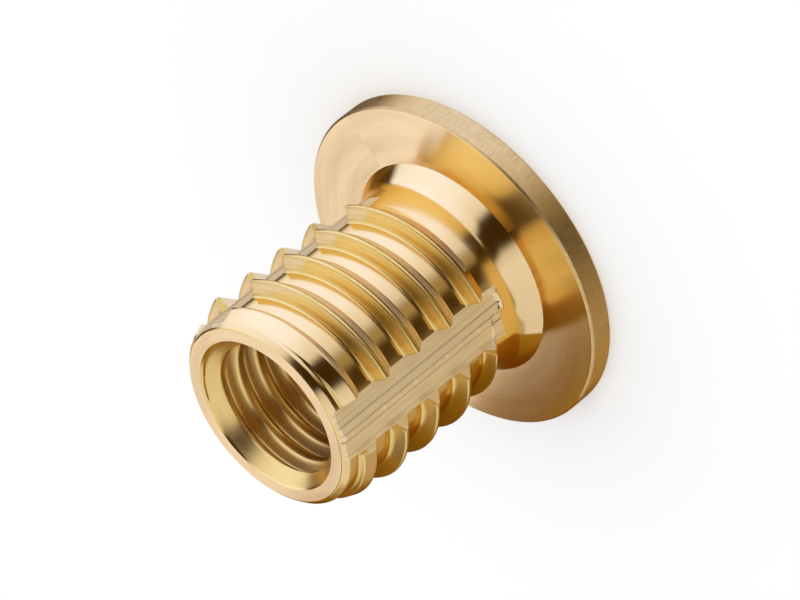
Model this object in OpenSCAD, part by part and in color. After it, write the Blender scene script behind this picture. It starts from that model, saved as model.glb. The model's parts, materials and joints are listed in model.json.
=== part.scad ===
// Flanged threaded insert: a one-piece turned brass sleeve.
// It stands on its flange, with its axis along Z and the open, threaded end at the top.
// Heights called "above the flange" start at the flange's upper face.

/* [Flange] */
// Outer diameter of the flange
flange_diameter = 17.5; // [14.5:0.5:24]
// Thickness of the flange
flange_thickness = 1.3; // [0.8:0.1:2.5]
// Bevel that breaks both edges of the rim
rim_bevel = 0.1; // [0.05:0.05:0.25]

/* [Bore] */
// Diameter of the bore, over the crests of the internal thread
bore_diameter = 6.8; // [5:0.1:8.2]
// Width of the 45 degree countersink at both mouths
countersink_width = 0.67; // [0.3:0.01:0.9]

/* [Body] */
// Height of the body above the flange
body_height = 13; // [10.5:0.5:20]
// Thickness of the wall between the bore and the root of the outer thread
wall = 1.6; // [1.3:0.1:2.2]
// Width of the cone at the foot of the body
foot_width = 0.7; // [0.4:0.05:1]
// Height of the cone at the foot of the body
foot_height = 0.95; // [0.5:0.05:1.4]
// Height of the plain neck above the flange, up to the start of the outer thread
neck_height = 2.55; // [1.8:0.05:4]
// Taper of the neck, which widens towards the flange
neck_taper = 3; // [0:0.5:5]

/* [Outer thread] */
// Depth of the thread, from its crest to its root
thread_depth = 0.75; // [0.5:0.05:0.95]
// Distance from one turn to the next
thread_pitch = 2.18; // [1.8:0.02:3]
// Width of the flat on the crest
crest_width = 0.18; // [0.1:0.02:0.3]
// Slope of the flank that faces the open end, from square to the axis
leading_angle = 18; // [5:1:30]
// Slope of the flank that faces the flange, from square to the axis
trailing_angle = 45; // [20:1:50]
// Height of a crest above the flange, at the middle of the first flute
crest_height = 3.19; // [2.5:0.01:4.5]

/* [Lead-in] */
// Slope of the cone that fades the thread out at the open end, from the axis
lead_in_angle = 20; // [12:1:40]
// Width of the 45 degree chamfer round the open end
end_chamfer = 0.28; // [0.1:0.02:0.4]

/* [Flutes] */
// Number of cutting flutes
flute_count = 3; // [1:1:4]
// Angle that one flute takes round the axis
flute_angle = 31.4; // [20:0.2:50]
// Depth of the flute below the thread's root
flute_depth = 0.03; // [0.02:0.01:0.3]
// Height above the flange where the first cut of a flute runs out
flute_end_height = 1.95; // [1.5:0.05:3]
// How much higher the second cut of a flute runs out
second_cut_rise = 0.7; // [0.1:0.1:1.5]

/* [Hidden] */

// Smoothness of the turned surfaces
$fn = 128;
// Steps of the helical ridge in one turn
turn_steps = 48;
// How far a cutting shape reaches past the surface that it cuts
overcut = 1;

flange_r = flange_diameter / 2;
bore_r = bore_diameter / 2;
mouth_r = bore_r + countersink_width;
root_r = bore_r + wall;
crest_r = root_r + thread_depth;
foot_r = root_r + foot_width;
neck_foot_r = root_r + (neck_height - foot_height) * tan(neck_taper);

top_z = flange_thickness + body_height;
chamfer_z = top_z - end_chamfer;
neck_z = flange_thickness + neck_height;
lead_in_z = chamfer_z - thread_depth / tan(lead_in_angle);

// The ridge is swept from below its root to just past its crest, and then trimmed
sunk_depth = 0.3;
sweep_inner_r = root_r - sunk_depth;
sweep_outer_r = crest_r + 0.45 * crest_width / (tan(leading_angle) + tan(trailing_angle));

// Two flats of equal width make the floor of each flute. Each cut reaches a little past the
// edge where they meet, and the cutter's rounded end is a little narrower than the flat.
flat_angle = flute_angle / 2;
cut_lap = flat_angle / 4;
floor_r = root_r - flute_depth;
flat_distance = floor_r * cos(flat_angle / 2);
cutter_margin = 0.05;
cutter_r = floor_r * sin(flat_angle / 2) - cutter_margin;
cutter_z = flange_thickness + flute_end_height + cutter_r;

// Point at a radius and an angle round the axis
function polar(r, angle) = [r * cos(angle), r * sin(angle)];

// Height of the middle of the crest at an angle round the axis
function crest_z(angle) = flange_thickness + crest_height + thread_pitch * angle / 360;

// Distance of a flank from the middle of the crest, measured along the axis at a radius
function flank_reach(r, slope) = crest_width / 2 + (crest_r - r) * tan(slope);

// Flange, cone, neck and root of the thread as one turned profile
module turned_core() {
    rotate_extrude()
        polygon([
            [0, 0],
            [flange_r - rim_bevel, 0],
            [flange_r, rim_bevel],
            [flange_r, flange_thickness - rim_bevel],
            [flange_r - rim_bevel, flange_thickness],
            [foot_r, flange_thickness],
            [neck_foot_r, flange_thickness + foot_height],
            [root_r, neck_z],
            [root_r, chamfer_z],
            [root_r - end_chamfer, top_z],
            [0, top_z]
        ]);
}

// Turned outline of the thread: shoulder at the neck, crests and lead-in cone
module thread_envelope() {
    inner_r = root_r - sunk_depth / 2;
    rotate_extrude()
        polygon([
            [inner_r, neck_z],
            [root_r, neck_z],
            [crest_r, neck_z + thread_depth],
            [crest_r, lead_in_z],
            [root_r, chamfer_z],
            [inner_r, chamfer_z]
        ]);
}

// Right-handed helical ridge: a closed sweep of a four-cornered section
module ridge() {
    section = [
        [sweep_inner_r, -flank_reach(sweep_inner_r, trailing_angle)],
        [sweep_outer_r, -flank_reach(sweep_outer_r, trailing_angle)],
        [sweep_outer_r, flank_reach(sweep_outer_r, leading_angle)],
        [sweep_inner_r, flank_reach(sweep_inner_r, leading_angle)]
    ];
    corners = len(section);
    steps_per_mm = turn_steps / thread_pitch;
    lowest_z = neck_z - flank_reach(root_r, leading_angle);
    highest_z = chamfer_z + flank_reach(root_r, trailing_angle);
    first_step = floor((lowest_z - crest_z(0)) * steps_per_mm) - 1;
    last_step = ceil((highest_z - crest_z(0)) * steps_per_mm) + 1;
    last_ring = last_step - first_step;
    points = [
        for (step = [first_step : last_step], corner = section)
            let (angle = step * 360 / turn_steps)
            concat(polar(corner[0], angle), crest_z(angle) + corner[1])
    ];
    sides = [
        for (ring = [0 : last_ring - 1], side = [0 : corners - 1], half = [0, 1])
            let (
                a = ring * corners + side,
                b = ring * corners + (side + 1) % corners
            )
            half == 0 ? [a, b, b + corners] : [a, b + corners, a + corners]
    ];
    end = last_ring * corners;
    caps = [[2, 1, 0], [3, 2, 0], [end, end + 1, end + 2], [end, end + 2, end + 3]];
    polyhedron(points = points, faces = concat(sides, caps));
}

// One straight cut of a flute, on one side of its middle, with a rounded runout
module flute_cut(side, end_z) {
    reach_r = (crest_r + overcut) / cos(flat_angle);
    lap_r = flat_distance / cos(flat_angle / 2 + cut_lap);
    translate([0, 0, end_z])
        linear_extrude(top_z + overcut - end_z)
            polygon([
                polar(floor_r, side * flat_angle),
                polar(reach_r, side * flat_angle),
                polar(reach_r, -side * cut_lap),
                polar(lap_r, -side * cut_lap)
            ]);
    rotate([0, 0, side * flat_angle / 2])
        translate([flat_distance, 0, end_z])
            rotate([0, 90, 0])
                cylinder(r = cutter_r, h = crest_r + overcut - flat_distance);
}

// One flute: two cuts side by side, the second one ending higher
module flute() {
    flute_cut(1, cutter_z);
    flute_cut(-1, cutter_z + second_cut_rise);
}

module flutes() {
    for (index = [0 : flute_count - 1])
        rotate([0, 0, index * 360 / flute_count])
            flute();
}

// Through bore with the same countersink at both mouths
module bore() {
    rotate_extrude()
        polygon([
            [0, -overcut],
            [mouth_r + overcut, -overcut],
            [bore_r, countersink_width],
            [bore_r, top_z - countersink_width],
            [mouth_r + overcut, top_z + overcut],
            [0, top_z + overcut]
        ]);
}

module insert() {
    color("goldenrod")
        difference() {
            union() {
                turned_core();
                intersection() {
                    ridge();
                    thread_envelope();
                }
            }
            flutes();
            bore();
        }
}

insert();
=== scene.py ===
import json
import math

import bpy
import numpy as np
from mathutils import Matrix, Vector


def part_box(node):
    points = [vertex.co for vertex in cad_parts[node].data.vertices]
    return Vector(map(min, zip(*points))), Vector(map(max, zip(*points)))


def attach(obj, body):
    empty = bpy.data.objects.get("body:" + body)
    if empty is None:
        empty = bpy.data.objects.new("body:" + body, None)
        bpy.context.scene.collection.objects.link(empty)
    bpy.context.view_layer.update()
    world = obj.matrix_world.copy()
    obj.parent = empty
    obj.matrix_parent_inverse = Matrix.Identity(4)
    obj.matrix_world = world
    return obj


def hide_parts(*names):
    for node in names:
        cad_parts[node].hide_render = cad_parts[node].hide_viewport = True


# The threaded insert stands on its flange's outer face, with its axis along Z. Its surface is worked out
# as a radius over azimuth and height, and replaces the plainer CAD solid. A plain white world lights it
# evenly, while its gloss mirrors a painted tent and a dark card, partly brighter than white.

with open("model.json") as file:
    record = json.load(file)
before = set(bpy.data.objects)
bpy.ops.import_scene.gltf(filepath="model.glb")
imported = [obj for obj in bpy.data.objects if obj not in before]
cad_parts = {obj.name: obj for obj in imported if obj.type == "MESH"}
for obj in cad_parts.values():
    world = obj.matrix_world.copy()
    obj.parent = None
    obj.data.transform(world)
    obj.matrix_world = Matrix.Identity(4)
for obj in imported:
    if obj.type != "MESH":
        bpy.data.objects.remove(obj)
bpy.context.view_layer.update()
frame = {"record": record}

# ---------------------------------------------------------------- sizes, in metres
MM = 0.001

mounts = {mount["name"]: mount for mount in frame["record"]["mounts"]}
_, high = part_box("insert")
TOP_Z = high[2]
FLANGE_R = min(high[0], high[1])
FLANGE_Z = mounts["flange_seat"]["pos_m"][2]
BORE_R = mounts["screw_thread"]["dims"]["r_mm"] * MM

RIM_BEVEL = 0.1 * MM
SINK_WIDTH = 0.67 * MM
MOUTH_R = BORE_R + SINK_WIDTH
ROOT_R = BORE_R + 1.6 * MM
FOOT_R = ROOT_R + 0.7 * MM
FOOT_HEIGHT = 0.95 * MM
NECK_Z = FLANGE_Z + 2.55 * MM
NECK_TAPER = math.tan(math.radians(3))
NECK_FOOT_R = ROOT_R + (NECK_Z - FLANGE_Z - FOOT_HEIGHT) * NECK_TAPER

# Outer thread
THREAD_DEPTH = 0.75 * MM
CREST_R = ROOT_R + THREAD_DEPTH
THREAD_PITCH = 2.18 * MM
CREST_WIDTH = 0.18 * MM
LEADING_SLOPE = math.tan(math.radians(18))
TRAILING_SLOPE = math.tan(math.radians(45))
FIRST_CREST_Z = FLANGE_Z + 3.19 * MM
# Share of the pitch, past a ridge's trailing foot, where the turn below takes over
TURN_SPLIT = 0.25

# Open end
LEAD_IN_SLOPE = math.tan(math.radians(20))
END_CHAMFER = 0.28 * MM
CHAMFER_Z = TOP_Z - END_CHAMFER
LEAD_IN_Z = CHAMFER_Z - THREAD_DEPTH / LEAD_IN_SLOPE

# Flutes, each of two flat cuts with rounded ends
FLUTE_COUNT = 3
SECTOR = 2 * math.pi / FLUTE_COUNT
FLUTE_ANGLE = math.radians(31.4)
FLAT_ANGLE = FLUTE_ANGLE / 2
FLOOR_R = ROOT_R - 0.03 * MM
FLAT_DISTANCE = FLOOR_R * math.cos(FLAT_ANGLE / 2)
CUTTER_R = FLOOR_R * math.sin(FLAT_ANGLE / 2) - 0.05 * MM
CUTTER_Z = FLANGE_Z + 1.95 * MM + CUTTER_R
# Angle from the middle of a flat up to which it is drawn, a little past its edge
FLAT_REACH = 0.6 * FLAT_ANGLE

# How much higher the second cut runs out, and its share by angle from the flute's middle in degrees
SECOND_CUT_RISE = 0.7 * MM
RISE_SHARES = ((-50, 0), (-16, 1), (-1.2, 1), (1.2, 0))
RISE_ANGLES = np.radians([angle for angle, _ in RISE_SHARES])

# Marks left along a flute's floor: angle from its middle in degrees, height in mm
FLOOR_MARKS = ((-3.7, 0), (-2.7, 0.06), (0.6, 0.06), (1.2, 0), (5.4, 0), (6.3, -0.03), (16, -0.03), (19, 0))
MARK_ANGLES = np.radians([angle for angle, _ in FLOOR_MARKS])
MARK_HEIGHTS = MM * np.array([height for _, height in FLOOR_MARKS])

# Internal thread of an M8 screw
SCREW_PITCH = 1.25 * MM
SCREW_R = 4 * MM
SCREW_ROOT_WIDTH = SCREW_PITCH / 8
SCREW_SLOPE = math.tan(math.radians(30))
SCREW_PHASE_Z = 1.03 * MM

# Rounding of edges
CREST_BLEND = 0.1 * MM
ROOT_BLEND = 0.2 * MM
LEADING_ROOT_BLEND = 0.25 * MM
TRAILING_ROOT_BLEND = 0.12 * MM
EDGE_BLEND = 0.04 * MM
BURNISHED_EDGE = 0.05 * MM
# The most of a side or a wall that the rounding of its edge takes
MOST_ROUNDING = 0.45

# Steps for slopes, the least height of a wall with an edge, and points near enough to be one
TINY = 0.001 * MM
LEAST_WALL = 5 * TINY
SAME_PLACE = 0.02 * TINY


# ---------------------------------------------------------------- surfaces: radius over azimuth and height
def soft_min(a, b, blend):
    """The lower of two values, rounded off only where they are less than the blend apart."""
    overlap = np.maximum(blend - np.abs(a - b), 0)
    return np.minimum(a, b) - overlap**2 / (4 * blend)


def soft_max(a, b, blend):
    """The higher of two values, rounded off in the same way."""
    return -soft_min(-a, -b, blend)


def crest_z(azimuth):
    """Height of the middle of the crest that passes FIRST_CREST_Z at azimuth 0."""
    return FIRST_CREST_Z + THREAD_PITCH * azimuth / (2 * math.pi)


def above_crest(azimuth, z):
    """Height above the middle of the nearest turn's crest."""
    split = CREST_WIDTH / 2 + THREAD_DEPTH * TRAILING_SLOPE + THREAD_PITCH * TURN_SPLIT
    return (z - crest_z(azimuth) + split) % THREAD_PITCH - split


def ridge_height(azimuth, z):
    """Height over the core of the thread's ridges before they are turned to the envelope."""
    above = above_crest(azimuth, z)
    leading = THREAD_DEPTH - (above - CREST_WIDTH / 2) / LEADING_SLOPE
    trailing = THREAD_DEPTH + (above + CREST_WIDTH / 2) / TRAILING_SLOPE
    return np.minimum(soft_max(leading, 0, LEADING_ROOT_BLEND), soft_max(trailing, 0, TRAILING_ROOT_BLEND))


def envelope_height(z):
    """Height over the core of the shoulder at the neck, the crests and the lead-in cone."""
    cone = (CHAMFER_Z - z) * LEAD_IN_SLOPE
    return soft_min(soft_min(z - NECK_Z, THREAD_DEPTH, EDGE_BLEND), cone, EDGE_BLEND)


def body_radius(azimuth, z):
    """Radius of the turned and threaded body before its flutes are cut."""
    foot = FOOT_R - (z - FLANGE_Z) * (FOOT_R - NECK_FOOT_R) / FOOT_HEIGHT
    neck = ROOT_R + np.maximum(NECK_Z - z, 0) * NECK_TAPER
    ridge = soft_min(ridge_height(azimuth, z), envelope_height(z), CREST_BLEND)
    turned_body = soft_max(foot, neck, ROOT_BLEND) + np.maximum(ridge, 0)
    chamfer = ROOT_R + CHAMFER_Z - z
    return soft_min(turned_body, chamfer, EDGE_BLEND)


def from_flute(azimuth):
    """Angle from the middle of the nearest flute."""
    return (azimuth + SECTOR / 2) % SECTOR - SECTOR / 2


def flat_offset(azimuth):
    """Angle from the middle of the nearer of a flute's two flats, no more than just past its edge."""
    return np.minimum(np.abs(from_flute(azimuth)) - FLAT_ANGLE / 2, FLAT_REACH)


def runout_z(azimuth):
    """Height where the rounded end of a flat lies, further up on the flute's second cut."""
    across = FLAT_DISTANCE * np.tan(flat_offset(azimuth))
    shares = [share for _, share in RISE_SHARES]
    rise = np.interp(from_flute(azimuth), RISE_ANGLES, shares) * SECOND_CUT_RISE
    return CUTTER_Z + rise - np.sqrt(np.maximum(CUTTER_R**2 - across**2, 0))


def floor_radius(azimuth):
    """Radius of a flute's floor, with the marks of the cutter."""
    marks = np.interp(from_flute(azimuth), MARK_ANGLES, MARK_HEIGHTS)
    return FLAT_DISTANCE / np.cos(flat_offset(azimuth)) + marks


def flute_radius(azimuth, z):
    """Radius inside a flute: the flat, or the uncut body below the runout."""
    wall = np.maximum(runout_z(azimuth) - z, 0)
    return soft_min(body_radius(azimuth, z), floor_radius(azimuth) + wall, EDGE_BLEND / 2)


def screw_radius(azimuth, z):
    """Radius of the bore: the internal thread, and the countersink at each mouth."""
    middle = SCREW_PHASE_Z + SCREW_PITCH * azimuth / (2 * math.pi)
    from_groove = np.abs((z - middle + SCREW_PITCH / 2) % SCREW_PITCH - SCREW_PITCH / 2)
    flank = SCREW_R - (from_groove - SCREW_ROOT_WIDTH / 2) / SCREW_SLOPE
    groove = soft_max(soft_min(flank, SCREW_R, ROOT_BLEND), BORE_R, CREST_BLEND)
    countersink = MOUTH_R - np.minimum(z, TOP_Z - z)
    return soft_max(groove, countersink, CREST_BLEND)


def polar_axes(azimuth):
    """Directions away from the axis and onward round it."""
    outward = np.stack([np.cos(azimuth), np.sin(azimuth), np.zeros_like(azimuth)], -1)
    onward = np.stack([-np.sin(azimuth), np.cos(azimuth), np.zeros_like(azimuth)], -1)
    return outward, onward


def surface_normal(radius, azimuth, z):
    """Outward unit normal of the surface r = radius(azimuth, z)."""
    r = radius(azimuth, z)
    step = TINY / r
    around = (radius(azimuth + step, z) - radius(azimuth - step, z)) / (2 * TINY)
    along = (radius(azimuth, z + TINY) - radius(azimuth, z - TINY)) / (2 * TINY)
    outward, onward = polar_axes(azimuth)
    normal = outward - around[..., None] * onward
    normal[..., 2] -= along
    return normal / np.linalg.norm(normal, axis=-1, keepdims=True)


# ---------------------------------------------------------------- columns round the axis
# Turns of the surface over each half of a flute's rounded edge
EDGE_TURNS = np.radians([0, 30, 60, 90])
# Columns stand this far to each side of the edge of a mark on a flute's floor
MARK_EDGE = math.radians(0.15)
# Even columns across the floor of a flute, and across the land between two flutes
FLOOR_COLUMNS = 11
LAND_COLUMNS = 33


def floor_columns():
    """Angles of the columns across a flute's floor, close beside each edge of its marks."""
    inner = np.linspace(-FLAT_ANGLE, FLAT_ANGLE, FLOOR_COLUMNS + 2)[1:-1]
    marks = MARK_ANGLES[np.abs(MARK_ANGLES) < FLAT_ANGLE]
    return np.unique(np.concatenate([inner, [0], marks - MARK_EDGE, marks + MARK_EDGE]))


def column_list():
    """One row a column: azimuth, in a flute, turn of the edge, side of the wall that the land is on."""
    across = floor_columns()
    columns = []
    for index in range(FLUTE_COUNT + 1):
        middle = index * SECTOR
        before, after = middle - FLAT_ANGLE, middle + FLAT_ANGLE
        if index > 0:
            columns += [(before, 0, turn, -1) for turn in EDGE_TURNS]
            columns += [(before, 1, turn, -1) for turn in EDGE_TURNS[::-1]]
            columns += [(middle + angle, 1, 0, 0) for angle in across[across < 0]]
        columns.append((middle, 1, 0, 0))
        if index < FLUTE_COUNT:
            columns += [(middle + angle, 1, 0, 0) for angle in across[across > 0]]
            columns += [(after, 1, turn, 1) for turn in EDGE_TURNS]
            columns += [(after, 0, turn, 1) for turn in EDGE_TURNS[::-1]]
            next_before = middle + SECTOR - FLAT_ANGLE
            inner = np.linspace(after, next_before, LAND_COLUMNS + 2)[1:-1]
            columns += [(azimuth, 0, 0, 0) for azimuth in inner]
    return np.array(columns, float)


COLUMNS = column_list()
AZIMUTH = COLUMNS[:, 0]
IN_FLUTE = COLUMNS[:, 1] > 0


# ---------------------------------------------------------------- rows along the axis
# Rows beside each edge, as distances up from it
TRAILING_FOOT_ROWS = MM * np.array([-0.3, -0.12, -0.06, 0, 0.06, 0.12, 0.3, 0.5])
TRAILING_CREST_ROWS = MM * np.array([-0.1, -0.06, -0.02, 0.02, 0.06])
LEADING_CREST_ROWS = MM * np.array([-0.033, -0.015, 0, 0.015, 0.033, 0.1, 0.18])
LEADING_FOOT_ROWS = MM * np.array([-0.08, -0.04, -0.01, 0.02, 0.05, 0.085, 0.3])
CORNER_ROWS = MM * np.array([-0.03, 0, 0.03])
FOOT_END_ROWS = MM * np.array([-0.3, -0.1, -0.04, 0, 0.04, 0.1, 0.25])
RUNOUT_ROWS = MM * np.array([-0.05, -0.02, 0, 0.02, 0.06])
FLOOR_TOP_ROWS = MM * np.array([-0.03, -0.01, 0.01, 0.03])
SCREW_ROOT_ROWS = MM * np.array([0.02, 0.09, 0.25])
SCREW_FOOT_ROWS = MM * np.array([-0.02, 0.03])

# Rows between the two ends of the lead-in cone
LEAD_IN_ROWS = 6
# Rows of each countersink, from its mouth to just past it, and where they end as a share of its depth
SINK_ROWS = 12
SINK_REACH = 1.1

# Turns of each thread that pass the body at any azimuth
LOWEST_TURN = -2
OUTER_TURNS = range(LOWEST_TURN, math.ceil((TOP_Z - FIRST_CREST_Z) / THREAD_PITCH) + 1)
SCREW_TURNS = range(LOWEST_TURN, math.ceil(TOP_Z / SCREW_PITCH) + 1)


def sorted_rows(rows, low_z, high_z):
    """Rows kept between two heights and put in order, column by column."""
    return np.sort(np.clip(np.stack(rows, 1), low_z, high_z), axis=1)


def crossing(slope_a, height_a, slope_b, height_b):
    """Height where two lines r = slope * z + height meet."""
    return (height_b - height_a) / (slope_a - slope_b)


def outer_rows(azimuth, low_z, high_z):
    """Heights of the rows between two heights, close together at every edge of the thread."""
    half_crest = CREST_WIDTH / 2
    leading_foot = half_crest + THREAD_DEPTH * LEADING_SLOPE
    trailing_foot = half_crest + THREAD_DEPTH * TRAILING_SLOPE
    offsets = np.concatenate([
        -trailing_foot + TRAILING_FOOT_ROWS,
        -half_crest + TRAILING_CREST_ROWS,
        half_crest + LEADING_CREST_ROWS,
        leading_foot + LEADING_FOOT_ROWS,
    ])
    cone = (-LEAD_IN_SLOPE, ROOT_R + CHAMFER_Z * LEAD_IN_SLOPE)
    shoulder = (1, ROOT_R - NECK_Z)
    rows = []
    for turn in OUTER_TURNS:
        middle = crest_z(azimuth) + turn * THREAD_PITCH
        rows += [middle + offset for offset in offsets]
        leading = (-1 / LEADING_SLOPE, CREST_R + (middle + half_crest) / LEADING_SLOPE)
        trailing = (1 / TRAILING_SLOPE, CREST_R - (middle - half_crest) / TRAILING_SLOPE)
        on_shoulder = np.clip(crossing(*leading, *shoulder), NECK_Z, NECK_Z + THREAD_DEPTH)
        rows += [on_shoulder + offset for offset in CORNER_ROWS]
        for flank in (leading, trailing):
            on_cone = np.clip(crossing(*flank, *cone), LEAD_IN_Z, CHAMFER_Z)
            rows += [on_cone + offset for offset in CORNER_ROWS]
    level = np.ones_like(azimuth)
    foot_end = FLANGE_Z + FOOT_HEIGHT
    rows += [level * (foot_end + offset) for offset in FOOT_END_ROWS]
    for z in (NECK_Z, NECK_Z + THREAD_DEPTH, LEAD_IN_Z, CHAMFER_Z):
        rows += [level * (z + offset) for offset in CORNER_ROWS]
    rows += [level * z for z in np.linspace(LEAD_IN_Z, CHAMFER_Z, LEAD_IN_ROWS + 2)[1:-1]]
    rows += [runout_z(azimuth) + offset for offset in RUNOUT_ROWS]
    floor_top = CHAMFER_Z + ROOT_R - floor_radius(azimuth)
    rows += [floor_top + offset for offset in FLOOR_TOP_ROWS]
    rows += [level * low_z, level * high_z]
    return sorted_rows(rows, low_z, high_z)


def screw_rows(azimuth, low_z, high_z):
    """Heights of the rows of the bore, close together at every edge of the internal thread."""
    half_root = SCREW_ROOT_WIDTH / 2
    foot = half_root + (SCREW_R - BORE_R) * SCREW_SLOPE
    half = np.concatenate([half_root + SCREW_ROOT_ROWS, foot + SCREW_FOOT_ROWS])
    offsets = np.concatenate([-half[::-1], half, [SCREW_PITCH / 2]])
    rows = []
    for turn in SCREW_TURNS:
        middle = SCREW_PHASE_Z + SCREW_PITCH * (azimuth / (2 * math.pi) + turn)
        rows += [middle + offset for offset in offsets]
    level = np.ones_like(azimuth)
    for depth in np.linspace(0, SINK_REACH, SINK_ROWS) * SINK_WIDTH:
        rows += [level * depth, level * (TOP_Z - depth)]
    return sorted_rows(rows, low_z, high_z)


# ---------------------------------------------------------------- walls of points and normals
def outer_wall(low_z, high_z):
    """Points and normals of the body between two heights, flutes and their edges included."""
    z = outer_rows(AZIMUTH, low_z, high_z)
    turn, side = COLUMNS[:, 2, None], COLUMNS[:, 3, None]
    in_flute = IN_FLUTE[:, None]
    wall = np.broadcast_to(AZIMUTH[:, None], z.shape)
    height = np.where(side != 0, body_radius(wall, z) - flute_radius(wall, z), 0)
    rounding = np.minimum(BURNISHED_EDGE, MOST_ROUNDING * height)
    away = np.where(in_flute, -side, side) * rounding * (1 - np.sin(turn)) / ROOT_R
    azimuth = wall + away
    body, flute = body_radius(azimuth, z), flute_radius(azimuth, z)
    drop = rounding * (1 - np.cos(turn))
    r = np.where(in_flute, flute + drop, body - drop)
    flat = np.where(
        in_flute[..., None],
        surface_normal(flute_radius, azimuth, z),
        surface_normal(body_radius, azimuth, z),
    )
    outward, onward = polar_axes(azimuth)
    lean = (turn * np.clip(height / LEAST_WALL, 0, 1))[..., None]
    normal = np.cos(lean) * flat - np.sin(lean) * side[..., None] * onward
    points = r[..., None] * outward
    points[..., 2] = z
    return points, normal / np.linalg.norm(normal, axis=-1, keepdims=True)


def bore_wall(low_z, high_z):
    """Points and normals of the bore, from the upper mouth down."""
    z = screw_rows(AZIMUTH, low_z, high_z)[:, ::-1]
    azimuth = np.broadcast_to(AZIMUTH[:, None], z.shape)
    outward, _ = polar_axes(azimuth)
    points = screw_radius(azimuth, z)[..., None] * outward
    points[..., 2] = z
    return points, -surface_normal(screw_radius, azimuth, z)


def rounded_outline(corners, steps=4):
    """Points and normals along an outline of (r, z, rounding) corners, each turned with an arc."""
    spots = np.array([corner[:2] for corner in corners], float)
    ways = np.diff(spots, axis=0)
    lengths = np.linalg.norm(ways, axis=1)
    ways /= lengths[:, None]
    points, normals = [spots[0]], [np.array([ways[0][1], -ways[0][0]])]
    for index in range(1, len(spots) - 1):
        before, after = ways[index - 1], ways[index]
        bend = math.atan2(before[0] * after[1] - before[1] * after[0], before @ after)
        reach = corners[index][2] * abs(math.tan(bend / 2))
        reach = min(reach, MOST_ROUNDING * lengths[index - 1], MOST_ROUNDING * lengths[index])
        radius = reach / abs(math.tan(bend / 2))
        start = spots[index] - reach * before
        inward = np.array([-before[1], before[0]]) * math.copysign(1, bend)
        centre = start + radius * inward
        for step in range(steps + 1):
            turn = bend * step / steps
            spoke = np.array([
                -inward[0] * math.cos(turn) + inward[1] * math.sin(turn),
                -inward[0] * math.sin(turn) - inward[1] * math.cos(turn),
            ])
            points.append(centre + radius * spoke)
            normals.append(spoke * math.copysign(1, bend))
    points.append(spots[-1])
    normals.append(np.array([ways[-1][1], -ways[-1][0]]))
    return np.array(points), np.array(normals)


def turned(corners):
    """Points and normals of an outline turned round the axis."""
    outline, bends = rounded_outline(corners)
    outward, _ = polar_axes(AZIMUTH)
    outward = outward[:, None, :]
    points = outline[None, :, :1] * outward
    points[..., 2] = outline[None, :, 1]
    normals = bends[None, :, :1] * outward
    normals[..., 2] = bends[None, :, 1]
    return points, normals


# ---------------------------------------------------------------- the mesh
# Share of the foot cone that is drawn with the flange
FOOT_SHARE = 0.25
BODY_START_Z = FLANGE_Z + FOOT_SHARE * FOOT_HEIGHT
BODY_START_R = FOOT_R - FOOT_SHARE * (FOOT_R - NECK_FOOT_R)
END_START_Z = TOP_Z - 0.08 * MM
FOOT_ROUNDING = 0.04 * MM
END_ROUNDING = 0.12 * MM
MOUTH_ROUNDING = 0.03 * MM

# Just below the lowest runout, where the flutes' milled finish starts
FLOOR_START_Z = FLANGE_Z + 1.9 * MM
# How far a flank's finish keeps from the root and from the envelope
FLANK_MARGIN = 0.02 * MM
# Height over the root from which the trailing flank is painted dark, as painted shade beside the crest
PAINTED_SHADE_HEIGHT = 0.64 * MM

# Numbers of the finishes, in the order in which the mesh takes their materials
FACED, RIM, BODY, MILLED, BORE, LEADING, TRAILING, PAINTED_SHADE, CREST = range(9)


def flange_rows():
    """The flange from the bore's lower mouth round its rim to the start of the foot."""
    return turned([
        (MOUTH_R, 0, 0),
        (FLANGE_R - RIM_BEVEL, 0, BURNISHED_EDGE),
        (FLANGE_R, RIM_BEVEL, BURNISHED_EDGE),
        (FLANGE_R, FLANGE_Z - RIM_BEVEL, BURNISHED_EDGE),
        (FLANGE_R - RIM_BEVEL, FLANGE_Z, BURNISHED_EDGE),
        (FOOT_R, FLANGE_Z, FOOT_ROUNDING),
        (BODY_START_R, BODY_START_Z, 0),
    ])


def end_rows():
    """The end face, from the top of the end chamfer to the bore's upper mouth."""
    chamfer_r = ROOT_R - END_CHAMFER
    return turned([
        (chamfer_r + TOP_Z - END_START_Z, END_START_Z, 0),
        (chamfer_r, TOP_Z, END_ROUNDING),
        (MOUTH_R, TOP_Z, MOUTH_ROUNDING),
        (MOUTH_R - (TOP_Z - END_START_Z), END_START_Z, 0),
    ])


def insert_rows():
    """Points and normals of the closed surface as columns of rows, and the finish of each row."""
    flange, body = flange_rows(), outer_wall(BODY_START_Z, END_START_Z)
    end, bore = end_rows(), bore_wall(0, END_START_Z)
    x, y, z = flange[0][0].T
    radius = np.hypot(x, y)
    on_foot = (radius < FOOT_R) & (z > FLANGE_Z / 2)
    finishes = [
        np.where(radius > FLANGE_R - RIM_BEVEL / 2, RIM, np.where(on_foot, BODY, FACED)),
        np.full(body[0].shape[1], BODY),
        np.full(end[0].shape[1], FACED),
        np.full(bore[0].shape[1], BORE),
    ]
    parts = (flange, body, end, bore)
    points = np.concatenate([part[0] for part in parts], axis=1)
    normals = np.concatenate([part[1] for part in parts], axis=1)
    return points, normals, np.concatenate(finishes)


def merged(points, normals):
    """Vertices with the points that coincide made one, their normals, and each point's vertex."""
    keys = np.round(points.reshape(-1, 3) / SAME_PLACE).astype(np.int64)
    _, first, index = np.unique(keys, axis=0, return_index=True, return_inverse=True)
    summed = np.zeros((len(first), 3))
    np.add.at(summed, index.ravel(), normals.reshape(-1, 3))
    summed /= np.linalg.norm(summed, axis=1, keepdims=True)
    return points.reshape(-1, 3)[first], summed, index.reshape(points.shape[:2])


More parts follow.
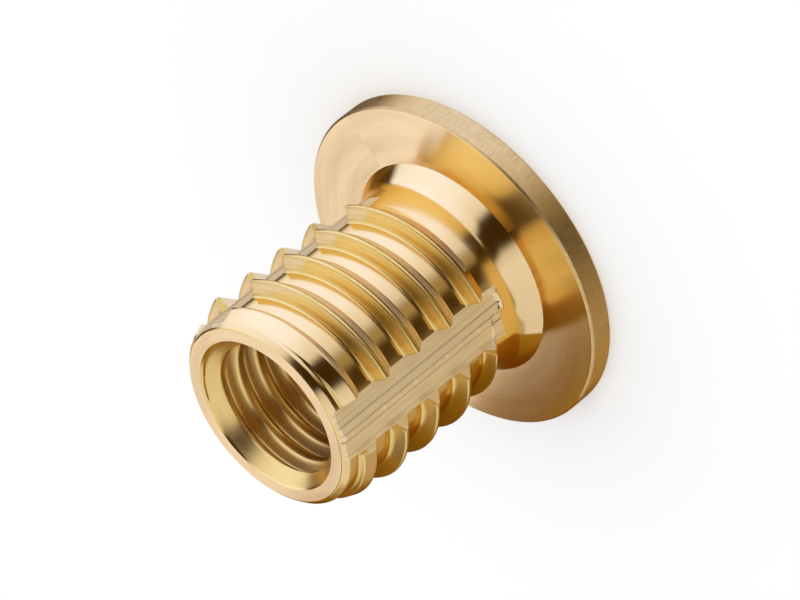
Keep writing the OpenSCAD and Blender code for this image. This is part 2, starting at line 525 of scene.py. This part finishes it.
def body_finish_at(azimuth, z, radius, in_flute):
    """Finish of a face of the body: flute floor, flank or crest of the thread, or polished rest."""
    if in_flute and z > FLOOR_START_Z:
        return MILLED
    above = above_crest(azimuth, z)
    height = radius - ROOT_R
    if NECK_Z < z < CHAMFER_Z and height < envelope_height(z) - FLANK_MARGIN:
        if CREST_WIDTH / 2 < above and height > FLANK_MARGIN:
            return LEADING
        if above < -CREST_WIDTH / 2 and height > FLANK_MARGIN:
            # The strip of trailing flank beside the crest takes the painted shade
            return TRAILING if height < PAINTED_SHADE_HEIGHT else PAINTED_SHADE
    if abs(above) <= CREST_WIDTH / 2 and NECK_Z < z < LEAD_IN_Z:
        return CREST
    return BODY


def insert_mesh():
    """The closed mesh, with a face between neighbouring rows of neighbouring columns."""
    points, normals, finishes = insert_rows()
    vertices, vertex_normals, index = merged(points, normals)
    column_count, row_count = index.shape
    faces, slots = [], []
    for column in range(column_count - 1):
        in_flute = IN_FLUTE[column] and IN_FLUTE[column + 1]
        for row in range(row_count):
            after = (row + 1) % row_count
            near, far = index[column, [row, after]], index[column + 1, [row, after]]
            corners = list(dict.fromkeys((near[0], far[0], far[1], near[1])))
            if len(corners) < 3:
                continue
            faces.append(corners)
            slot = finishes[row]
            if slot == BODY:
                x, y, z = vertices[corners].mean(axis=0)
                slot = body_finish_at(math.atan2(y, x), z, math.hypot(x, y), in_flute)
            slots.append(slot)
    mesh = bpy.data.meshes.new("insert_visual")
    mesh.from_pydata(vertices.tolist(), [], faces)
    mesh.polygons.foreach_set("material_index", slots)
    mesh.polygons.foreach_set("use_smooth", [True] * len(faces))
    mesh.normals_split_custom_set_from_vertices(vertex_normals.tolist())
    return mesh


# ---------------------------------------------------------------- brass
# Colours of the metal, clean and stained; the paler and darker ones on the thread's flanks are painted
# light and shade
BRASS = (0.93, 0.70, 0.38, 1)
STAINED_BRASS = (0.86, 0.61, 0.23, 1)
# Painted light: the trailing flanks take this paler colour so that they look lit
PAINTED_LIGHT_BRASS = (1.0, 0.87, 0.62, 1)
FACED_BRASS = (0.97, 0.74, 0.27, 1)
MILLED_BRASS = (1.0, 0.82, 0.50, 1)
GOLDEN_BRASS = (0.91, 0.67, 0.25, 1)
OLIVE_BRASS = (0.76, 0.56, 0.16, 1)
RIM_BRASS = (0.80, 0.57, 0.28, 1)
DULL_BRASS = (0.58, 0.40, 0.16, 1)
# Painted shade for the dark strip on the trailing flanks beside the crest, and the dark of the flutes'
# streaks and lines
SHADE_AND_DIRT_BRASS = (0.42, 0.24, 0.06, 1)
# Tint of the gloss where the metal is seen edge on
EDGE_TINT = (0.80, 0.62, 0.36, 1)
# The milled floors scatter a part of the light, so they look matt
MILLED_METALLIC = 0.7

# Middle of the third flute, where the seam of the azimuth lies unseen
SEAM_AZIMUTH = math.radians(-120)
# Turn that spreads the gloss across grooves round the axis, as a share of a full turn
ACROSS_GROOVES = 0.25
# Most of a noise's values lie between these
NOISE_LOW, NOISE_HIGH = 0.3, 0.7

# Dark lines painted along a flute's floor, those on the slopes of its marks as painted shade: angle from
# its middle and half width in degrees, darkness
DARK_FLOOR_LINES = ((-12.5, 0.3, 0.3), (-3.2, 0.5, 0.7), (0.9, 0.3, 0.5), (5.8, 0.4, 0.35), (9.5, 0.25, 0.2))


class Finish:
    """A brass material and the nodes added to it."""

    def __init__(self, name, grooves=0.0, metallic=1.0):
        """A plain finish, or one whose gloss is spread by grooves round the axis."""
        self.material = bpy.data.materials.new(name)
        self.material.use_nodes = True
        self.tree = self.material.node_tree
        self.shader = self.tree.nodes["Principled BSDF"]
        self.shader.inputs["Metallic"].default_value = metallic
        self.shader.inputs["Specular Tint"].default_value = EDGE_TINT
        self.shader.inputs["Anisotropic"].default_value = grooves
        if grooves > 0:
            self.shader.inputs["Anisotropic Rotation"].default_value = ACROSS_GROOVES
            tangent = self.add("ShaderNodeTangent", direction_type="RADIAL", axis="Z")
            self.wire("Tangent", tangent.outputs[0])

    def add(self, kind, inputs=(), **settings):
        """A node whose inputs are values or the outputs of other nodes."""
        node = self.tree.nodes.new(kind)
        for name, value in settings.items():
            setattr(node, name, value)
        for socket, value in dict(inputs).items():
            if isinstance(value, bpy.types.NodeSocket):
                self.tree.links.new(value, node.inputs[socket])
            else:
                node.inputs[socket].default_value = value
        return node

    def wire(self, socket, value):
        self.tree.links.new(value, self.shader.inputs[socket])

    def math(self, operation, a, b=0.0, c=0.0):
        return self.add("ShaderNodeMath", {0: a, 1: b, 2: c}, operation=operation).outputs[0]

    def over(self, length, size):
        """A length counted in marks of a size."""
        return self.math("DIVIDE", length, size)

    def noise(self, x, y, z, detail=3.0, roughness=0.6):
        vector = self.add("ShaderNodeCombineXYZ", {0: x, 1: y, 2: z}).outputs[0]
        inputs = {"Vector": vector, "Scale": 1, "Detail": detail, "Roughness": roughness}
        return self.add("ShaderNodeTexNoise", inputs).outputs["Fac"]

    def ranged(self, value, low, high):
        """A noise value spread from low to high."""
        inputs = {
            "Value": value, "From Min": NOISE_LOW, "From Max": NOISE_HIGH, "To Min": low, "To Max": high,
        }
        return self.add("ShaderNodeMapRange", inputs).outputs[0]

    def place(self):
        """Radius, height and azimuth of the shaded point, with the azimuth's seam in the third flute."""
        spot = self.add("ShaderNodeTexCoord").outputs["Object"]
        turned_back = self.add(
            "ShaderNodeVectorRotate",
            {"Vector": spot, "Angle": SEAM_AZIMUTH - math.pi},
            rotation_type="Z_AXIS",
        ).outputs[0]
        x, y, z = self.add("ShaderNodeSeparateXYZ", {0: turned_back}).outputs
        squared = self.math("ADD", self.math("MULTIPLY", x, x), self.math("MULTIPLY", y, y))
        return self.math("SQRT", squared), z, self.math("ARCTAN2", y, x)

    def above_helix(self, z, azimuth, pitch):
        """Height above a helix of the pitch, which is the same all along a thread."""
        return self.math("SUBTRACT", z, self.math("MULTIPLY", azimuth, pitch / (2 * math.pi)))

    def stain(self, share, clean=BRASS, stained=STAINED_BRASS):
        mix = self.add("ShaderNodeMixRGB", {"Fac": share, "Color1": clean, "Color2": stained})
        self.wire("Base Color", mix.outputs[0])

    def roughen(self, noise, smoothest, roughest):
        self.wire("Roughness", self.ranged(noise, smoothest, roughest))

    def bump(self, noise, depth):
        node = self.add("ShaderNodeBump", {"Height": noise, "Distance": depth, "Strength": 1})
        self.wire("Normal", node.outputs[0])


def faced_finish():
    """The flange's faces and the end face, with turning marks and broad stains."""
    mark_width, mark_height, stain_width = 0.09 * MM, 0.1 * MM, 0.8 * MM
    finish = Finish("brass_faced", grooves=0.9)
    radius, z, azimuth = finish.place()
    cut = finish.noise(finish.over(radius, mark_width), finish.over(z, mark_height), azimuth)
    blotch = finish.noise(finish.over(radius, stain_width), azimuth, z)
    finish.bump(cut, depth=0.002 * MM)
    finish.roughen(blotch, smoothest=0.16, roughest=0.23)
    finish.stain(finish.ranged(blotch, 0, 0.6), clean=FACED_BRASS)
    return finish.material


def rim_finish():
    """The flange's rim, with fine marks across it, and mottled by stains across and round it."""
    mark_width, mark_length, line_width, lines_a_radian = 0.12 * MM, 0.9 * MM, 0.07 * MM, 4
    finish = Finish("brass_rim")
    _, z, azimuth = finish.place()
    arc = finish.math("MULTIPLY", azimuth, FLANGE_R / mark_width)
    across = finish.noise(arc, finish.over(z, mark_length), 0.0)
    line = finish.math("MULTIPLY", azimuth, lines_a_radian)
    around = finish.noise(line, finish.over(z, line_width), 0.0)
    mottle = finish.math("MULTIPLY", finish.math("ADD", across, around), 0.5)
    finish.bump(across, depth=0.004 * MM)
    finish.roughen(across, smoothest=0.25, roughest=0.4)
    finish.stain(finish.ranged(mottle, 0, 1), RIM_BRASS, DULL_BRASS)
    return finish.material


def body_finish():
    """The polished foot, neck, lands and cones, with faint marks that follow the thread."""
    mark_height, mark_width, stain_height, stains_a_radian = 0.11 * MM, 0.09 * MM, 1.5 * MM, 2
    finish = Finish("brass_body", grooves=0.5)
    radius, z, azimuth = finish.place()
    along = finish.over(finish.above_helix(z, azimuth, THREAD_PITCH), mark_height)
    cut = finish.noise(along, finish.over(radius, mark_width), azimuth)
    onward = finish.math("MULTIPLY", azimuth, stains_a_radian)
    blotch = finish.noise(finish.over(z, stain_height), onward, 0.0)
    finish.bump(cut, depth=0.0006 * MM)
    finish.roughen(blotch, smoothest=0.09, roughest=0.16)
    finish.stain(finish.ranged(blotch, 0, 0.4))
    return finish.material


def flank_finish(name, clean, stained, smoothest=0.2, roughest=0.28):
    """Satin faces of the thread, with fine marks that run along them."""
    mark_width, marks_a_radian = 0.1 * MM, 2
    finish = Finish(name, grooves=0.4)
    radius, _, azimuth = finish.place()
    onward = finish.math("MULTIPLY", azimuth, marks_a_radian)
    cut = finish.noise(finish.over(radius, mark_width), onward, 0.0)
    finish.bump(cut, depth=0.0006 * MM)
    finish.roughen(cut, smoothest, roughest)
    finish.stain(finish.ranged(cut, 0, 1), clean, stained)
    return finish.material


# The leading flanks are painted more golden and olive than the lands, as painted shade and painted
# reflection of warm light
def leading_finish():
    return flank_finish("brass_leading_flank", GOLDEN_BRASS, OLIVE_BRASS)


# The trailing flanks are painted paler than the rest of the brass, as painted light
def trailing_finish():
    return flank_finish("brass_trailing_flank", PAINTED_LIGHT_BRASS, MILLED_BRASS, smoothest=0.4, roughest=0.5)


def painted_shade_finish():
    """The dark line on a trailing flank, beside the crest, which is painted shade."""
    return flank_finish("brass_painted_shade_edge", SHADE_AND_DIRT_BRASS, OLIVE_BRASS)


def crest_finish():
    return flank_finish("brass_crest", BRASS, OLIVE_BRASS)


def milled_finish():
    """Matt floors of the flutes, streaked along the cutter's way, with dark lines painted along them, those
    on the slopes of their marks as painted shade.
    """
    streak_width, streak_length = 0.16 * MM, 4 * MM
    finish = Finish("brass_milled", metallic=MILLED_METALLIC)
    _, z, azimuth = finish.place()
    arc = finish.math("MULTIPLY", azimuth, ROOT_R / streak_width)
    streak = finish.noise(arc, finish.over(z, streak_length), 0.0, detail=4.0)
    finish.bump(streak, depth=0.012 * MM)
    finish.roughen(streak, smoothest=0.45, roughest=0.55)
    dirt_and_shade = finish.ranged(streak, 0, 0.25)
    from_middle = finish.math("SUBTRACT", finish.math("WRAP", azimuth, SECTOR, 0), SECTOR / 2)
    # Dark lines painted along the floor; those on the slopes of its marks are painted shade
    for middle, half_width, darkness in DARK_FLOOR_LINES:
        line = finish.math("COMPARE", from_middle, math.radians(middle), math.radians(half_width))
        dirt_and_shade = finish.math("ADD", dirt_and_shade, finish.math("MULTIPLY", line, darkness))
    dirt_and_shade = finish.math("MINIMUM", dirt_and_shade, 1)
    finish.stain(dirt_and_shade, MILLED_BRASS, SHADE_AND_DIRT_BRASS)
    return finish.material


def bore_finish():
    """The bore and its countersinks, with marks that follow the internal thread."""
    mark_size = 0.08 * MM
    finish = Finish("brass_bore", grooves=0.5)
    radius, z, azimuth = finish.place()
    along = finish.over(finish.above_helix(z, azimuth, SCREW_PITCH), mark_size)
    cut = finish.noise(along, finish.over(radius, mark_size), azimuth)
    finish.bump(cut, depth=0.002 * MM)
    finish.roughen(cut, smoothest=0.26, roughest=0.36)
    finish.stain(finish.ranged(cut, 0, 0.4), clean=GOLDEN_BRASS)
    return finish.material


FINISHES = (
    faced_finish, rim_finish, body_finish, milled_finish, bore_finish,
    leading_finish, trailing_finish, painted_shade_finish, crest_finish,
)

# ---------------------------------------------------------------- the insert
mesh = insert_mesh()
for make_finish in FINISHES:
    mesh.materials.append(make_finish())
insert = bpy.data.objects.new("insert_visual", mesh)
bpy.context.scene.collection.objects.link(insert)
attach(insert, "root")
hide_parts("insert")

# ---------------------------------------------------------------- camera
# Lens and sensor in millimetres
LENS = 272.8
SENSOR_WIDTH = 36
# Nearest and farthest distance drawn, in metres
CLIP_NEAR, CLIP_FAR = 0.01, 100
# Place of the camera in the part's frame, the way it looks from, and its roll, in degrees
CAMERA_PLACE = Vector((190.645, 146.287, 155.337)) * MM
VIEW_AZIMUTH, VIEW_ELEVATION, VIEW_ROLL = (math.radians(angle) for angle in (37.43, 32.09, -128.72))


def camera_axes():
    """Right, up and back of the camera in the part's frame."""
    level_distance = math.cos(VIEW_ELEVATION)
    back = Vector((
        math.cos(VIEW_AZIMUTH) * level_distance,
        math.sin(VIEW_AZIMUTH) * level_distance,
        math.sin(VIEW_ELEVATION),
    ))
    level = Vector((0, 0, 1)).cross(back).normalized()
    upright = back.cross(level)
    right = level * math.cos(VIEW_ROLL) + upright * math.sin(VIEW_ROLL)
    return right, back.cross(right), back


camera_data = bpy.data.cameras.new("camera")
camera_data.lens = LENS
camera_data.sensor_width = SENSOR_WIDTH
camera_data.clip_start = CLIP_NEAR
camera_data.clip_end = CLIP_FAR
camera = bpy.data.objects.new("camera", camera_data)
bpy.context.scene.collection.objects.link(camera)
bpy.context.scene.camera = camera
camera_turn = Matrix(camera_axes()).transposed()
camera.matrix_world = Matrix.Translation(CAMERA_PLACE) @ camera_turn.to_4x4()

# ---------------------------------------------------------------- studio
# The gloss shows the insert as if it lay on its side in a light tent, with these ways up and to the front
STUDIO_UP = np.array([-0.51, 0.85, -0.11])
STUDIO_FRONT = np.array([0.69, 0.48, 0.54])
# Radius in metres, and degrees between neighbouring points
TENT_RADIUS = 4.0
TENT_STEP = 3

# The shade card under the flange: its depth below the axis, its middle and half sizes to the right and
# front, its light in the middle and at the edge, and its rings as shares of its size
SHADE_DROP = 9.0 * MM
SHADE_PLACE = np.array([-11, -3.5]) * MM
SHADE_SIZE = np.array([16, 8]) * MM
SHADE_LIGHT = (0.17, 0.083, 0.004)
SHADE_EDGE_LIGHT = (0.35, 0.20, 0.02)
SHADE_RINGS = np.array([0, 0.5, 0.8, 1])
SHADE_STEPS = 48

FLOOR_SIZE = 6.0
FLOOR_COLOUR = (0.8, 0.8, 0.8, 1)
FLOOR_GLOW = 0.22
WHITE = (1, 1, 1, 1)

# Light of the tent by elevation in degrees, from straight down to straight up. Overhead it is above white
# and bluish, because brass under white light never looks as pale as the highlights have to be.
TENT_LEVELS = (
    (-90, (0.76, 0.75, 0.75)),
    (-30, (0.88, 0.88, 0.96)),
    (0, (0.54, 0.48, 0.40)),
    (25, (0.90, 0.89, 0.95)),
    (45, (1.06, 1.15, 1.55)),
    (90, (1.12, 1.28, 1.95)),
)
# Panels hung in the tent, each in front of those before it: azimuth, elevation, half width, half height,
# slant, width of the soft edge, light
PANELS = (
    # the wide shades below and behind
    (120, -25, 62, 37, 0, 14, (0.36, 0.28, 0.15)),
    (-165, -52, 30, 10, 0, 10, (0.50, 0.39, 0.27)),
    (140, -65, 50, 22, 0, 14, (0.55, 0.44, 0.30)),
    # the panel that the flange's seat mirrors, above white in blue, and the dark strip under it
    (-110, 0, 50, 15, 0, 8, (1.00, 1.01, 1.80)),
    (-112, -24, 26, 9, 0, 8, (0.12, 0.05, 0.002)),
    # steps from shade to light behind the insert
    (-165, -30, 30, 14, 0, 9, (0.33, 0.24, 0.09)),
    (160, -38, 22, 14, 0, 10, (0.55, 0.43, 0.25)),
    (165, -16, 16, 9, 0, 8, (0.78, 0.68, 0.50)),
    # dark cards high up behind, and the brown strip over the bright panel
    (-150, 33, 31, 18, 0, 6, (0.085, 0.048, 0.012)),
    (178, 24, 10, 18, 0, 6, (0.13, 0.08, 0.02)),
    (-112, 22, 16, 5, 0, 5, (0.36, 0.27, 0.12)),
    # dark cards in front and to its sides, with a brown border on the right
    (-50, 0, 11, 14, 0, 6, (0.055, 0.024, 0.001)),
    (52, 0, 32, 8, -0.1, 9, (0.39, 0.30, 0.15)),
    (-1, 2, 42, 16, -0.05, 9, (0.045, 0.022, 0.002)),
    (60, -11, 30, 10, -0.45, 8, (0.065, 0.034, 0.004)),
)


def smooth_step(value):
    """A share from 0 to 1 that leaves and arrives slowly."""
    share = np.clip(value, 0, 1)
    return share * share * (3 - 2 * share)


def tent_light(azimuth, elevation):
    """Colour of the tent's light at each direction, in degrees from the studio's front."""
    heights = [height for height, _ in TENT_LEVELS]
    levels = np.array([light for _, light in TENT_LEVELS])
    light = np.stack([np.interp(elevation, heights, levels[:, channel]) for channel in range(3)], -1)
    for middle, height, half_width, half_height, slant, edge, panel in PANELS:
        aside = (azimuth - middle + 180) % 360 - 180
        above = elevation - height - slant * aside
        inside = np.minimum(half_width - np.abs(aside), half_height - np.abs(above))
        cover = smooth_step(inside / edge + 0.5)[..., None]
        light = light * (1 - cover) + np.array(panel) * cover
    return light


def studio_axes():
    """Ways up, to the front and to the right in the tent."""
    up = STUDIO_UP / np.linalg.norm(STUDIO_UP)
    front = STUDIO_FRONT - up * (STUDIO_FRONT @ up)
    front /= np.linalg.norm(front)
    return up, front, np.cross(up, front)


def glossy_card(name, points, faces, light):
    """A surface that glows with a colour at each vertex, and that only the object's gloss sees."""
    mesh = bpy.data.meshes.new(name)
    mesh.from_pydata(points.tolist(), [], faces.tolist())
    colours = np.ones((len(points), 4))
    colours[:, :3] = light
    mesh.color_attributes.new("light", "FLOAT_COLOR", "POINT").data.foreach_set("color", colours.ravel())
    material = bpy.data.materials.new(name)
    material.use_nodes = True
    material.cycles.emission_sampling = "NONE"
    nodes, links = material.node_tree.nodes, material.node_tree.links
    nodes.clear()
    attribute = nodes.new("ShaderNodeAttribute")
    attribute.attribute_name = "light"
    emission = nodes.new("ShaderNodeEmission")
    output = nodes.new("ShaderNodeOutputMaterial")
    links.new(attribute.outputs["Color"], emission.inputs["Color"])
    links.new(emission.outputs[0], output.inputs["Surface"])
    mesh.materials.append(material)
    card = bpy.data.objects.new(name, mesh)
    card.visible_camera = False
    card.visible_diffuse = False
    card.visible_shadow = False
    return card


def studio_tent():
    """A large ball round the insert, which glows as tent_light says."""
    azimuth, elevation = np.meshgrid(
        np.arange(0, 360, TENT_STEP), np.arange(-90, 91, TENT_STEP), indexing="ij"
    )
    up, front, right = studio_axes()
    level, rise = np.radians(azimuth), np.radians(elevation)
    ways = (
        np.cos(rise)[..., None] * (np.cos(level)[..., None] * front + np.sin(level)[..., None] * right)
        + np.sin(rise)[..., None] * up
    )
    columns, rows = azimuth.shape
    index = np.arange(columns * rows).reshape(columns, rows)
    beside = np.roll(index, -1, axis=0)
    faces = np.stack([index[:, :-1], beside[:, :-1], beside[:, 1:], index[:, 1:]], -1).reshape(-1, 4)
    light = tent_light(azimuth, elevation).reshape(-1, 3)
    return glossy_card("studio_tent", ways.reshape(-1, 3) * TENT_RADIUS, faces, light)


def studio_shade():
    """A dark oval card under the insert as it lies in the tent, where its own shade would fall."""
    turn = np.linspace(0, 2 * math.pi, SHADE_STEPS, endpoint=False)
    share = SHADE_RINGS[:, None]
    up, front, right = studio_axes()
    middle = SHADE_PLACE[0] * right + SHADE_PLACE[1] * front - SHADE_DROP * up
    along = share * SHADE_SIZE[0] * np.cos(turn)
    across = share * SHADE_SIZE[1] * np.sin(turn)
    points = middle + along[..., None] * right + across[..., None] * front
    index = np.arange(points.shape[0] * points.shape[1]).reshape(points.shape[:2])
    beside = np.roll(index, -1, axis=1)
    faces = np.stack([index[:-1], beside[:-1], beside[1:], index[1:]], -1).reshape(-1, 4)
    light = np.array(SHADE_LIGHT) + (np.array(SHADE_EDGE_LIGHT) - SHADE_LIGHT) * (share**2)[..., None]
    light = np.broadcast_to(light, points.shape)
    return glossy_card("studio_shade", points.reshape(-1, 3), faces, light.reshape(-1, 3))


def studio_floor():
    """The floor, which keeps the insert's shadow. Its slight glow reaches all but glossy rays."""
    half = FLOOR_SIZE / 2
    mesh = bpy.data.meshes.new("studio_floor")
    corners = [(x, y, -TINY) for x, y in ((-half, -half), (half, -half), (half, half), (-half, half))]
    mesh.from_pydata(corners, [], [(0, 1, 2, 3)])
    material = bpy.data.materials.new("studio_floor")
    material.use_nodes = True
    shader = material.node_tree.nodes["Principled BSDF"]
    shader.inputs["Base Color"].default_value = FLOOR_COLOUR
    shader.inputs["Roughness"].default_value = 1
    shader.inputs["Specular IOR Level"].default_value = 0
    shader.inputs["Emission Color"].default_value = WHITE
    shader.inputs["Emission Strength"].default_value = FLOOR_GLOW
    mesh.materials.append(material)
    floor = bpy.data.objects.new("studio_floor", mesh)
    floor.visible_glossy = False
    return floor


for stage_piece in (studio_tent(), studio_shade(), studio_floor()):
    bpy.context.scene.collection.objects.link(stage_piece)

world = bpy.data.worlds.new("world")
world.use_nodes = True
background = world.node_tree.nodes["Background"]
background.inputs["Color"].default_value = WHITE
background.inputs["Strength"].default_value = 1
bpy.context.scene.world = world
bpy.context.scene.view_settings.view_transform = "Standard"
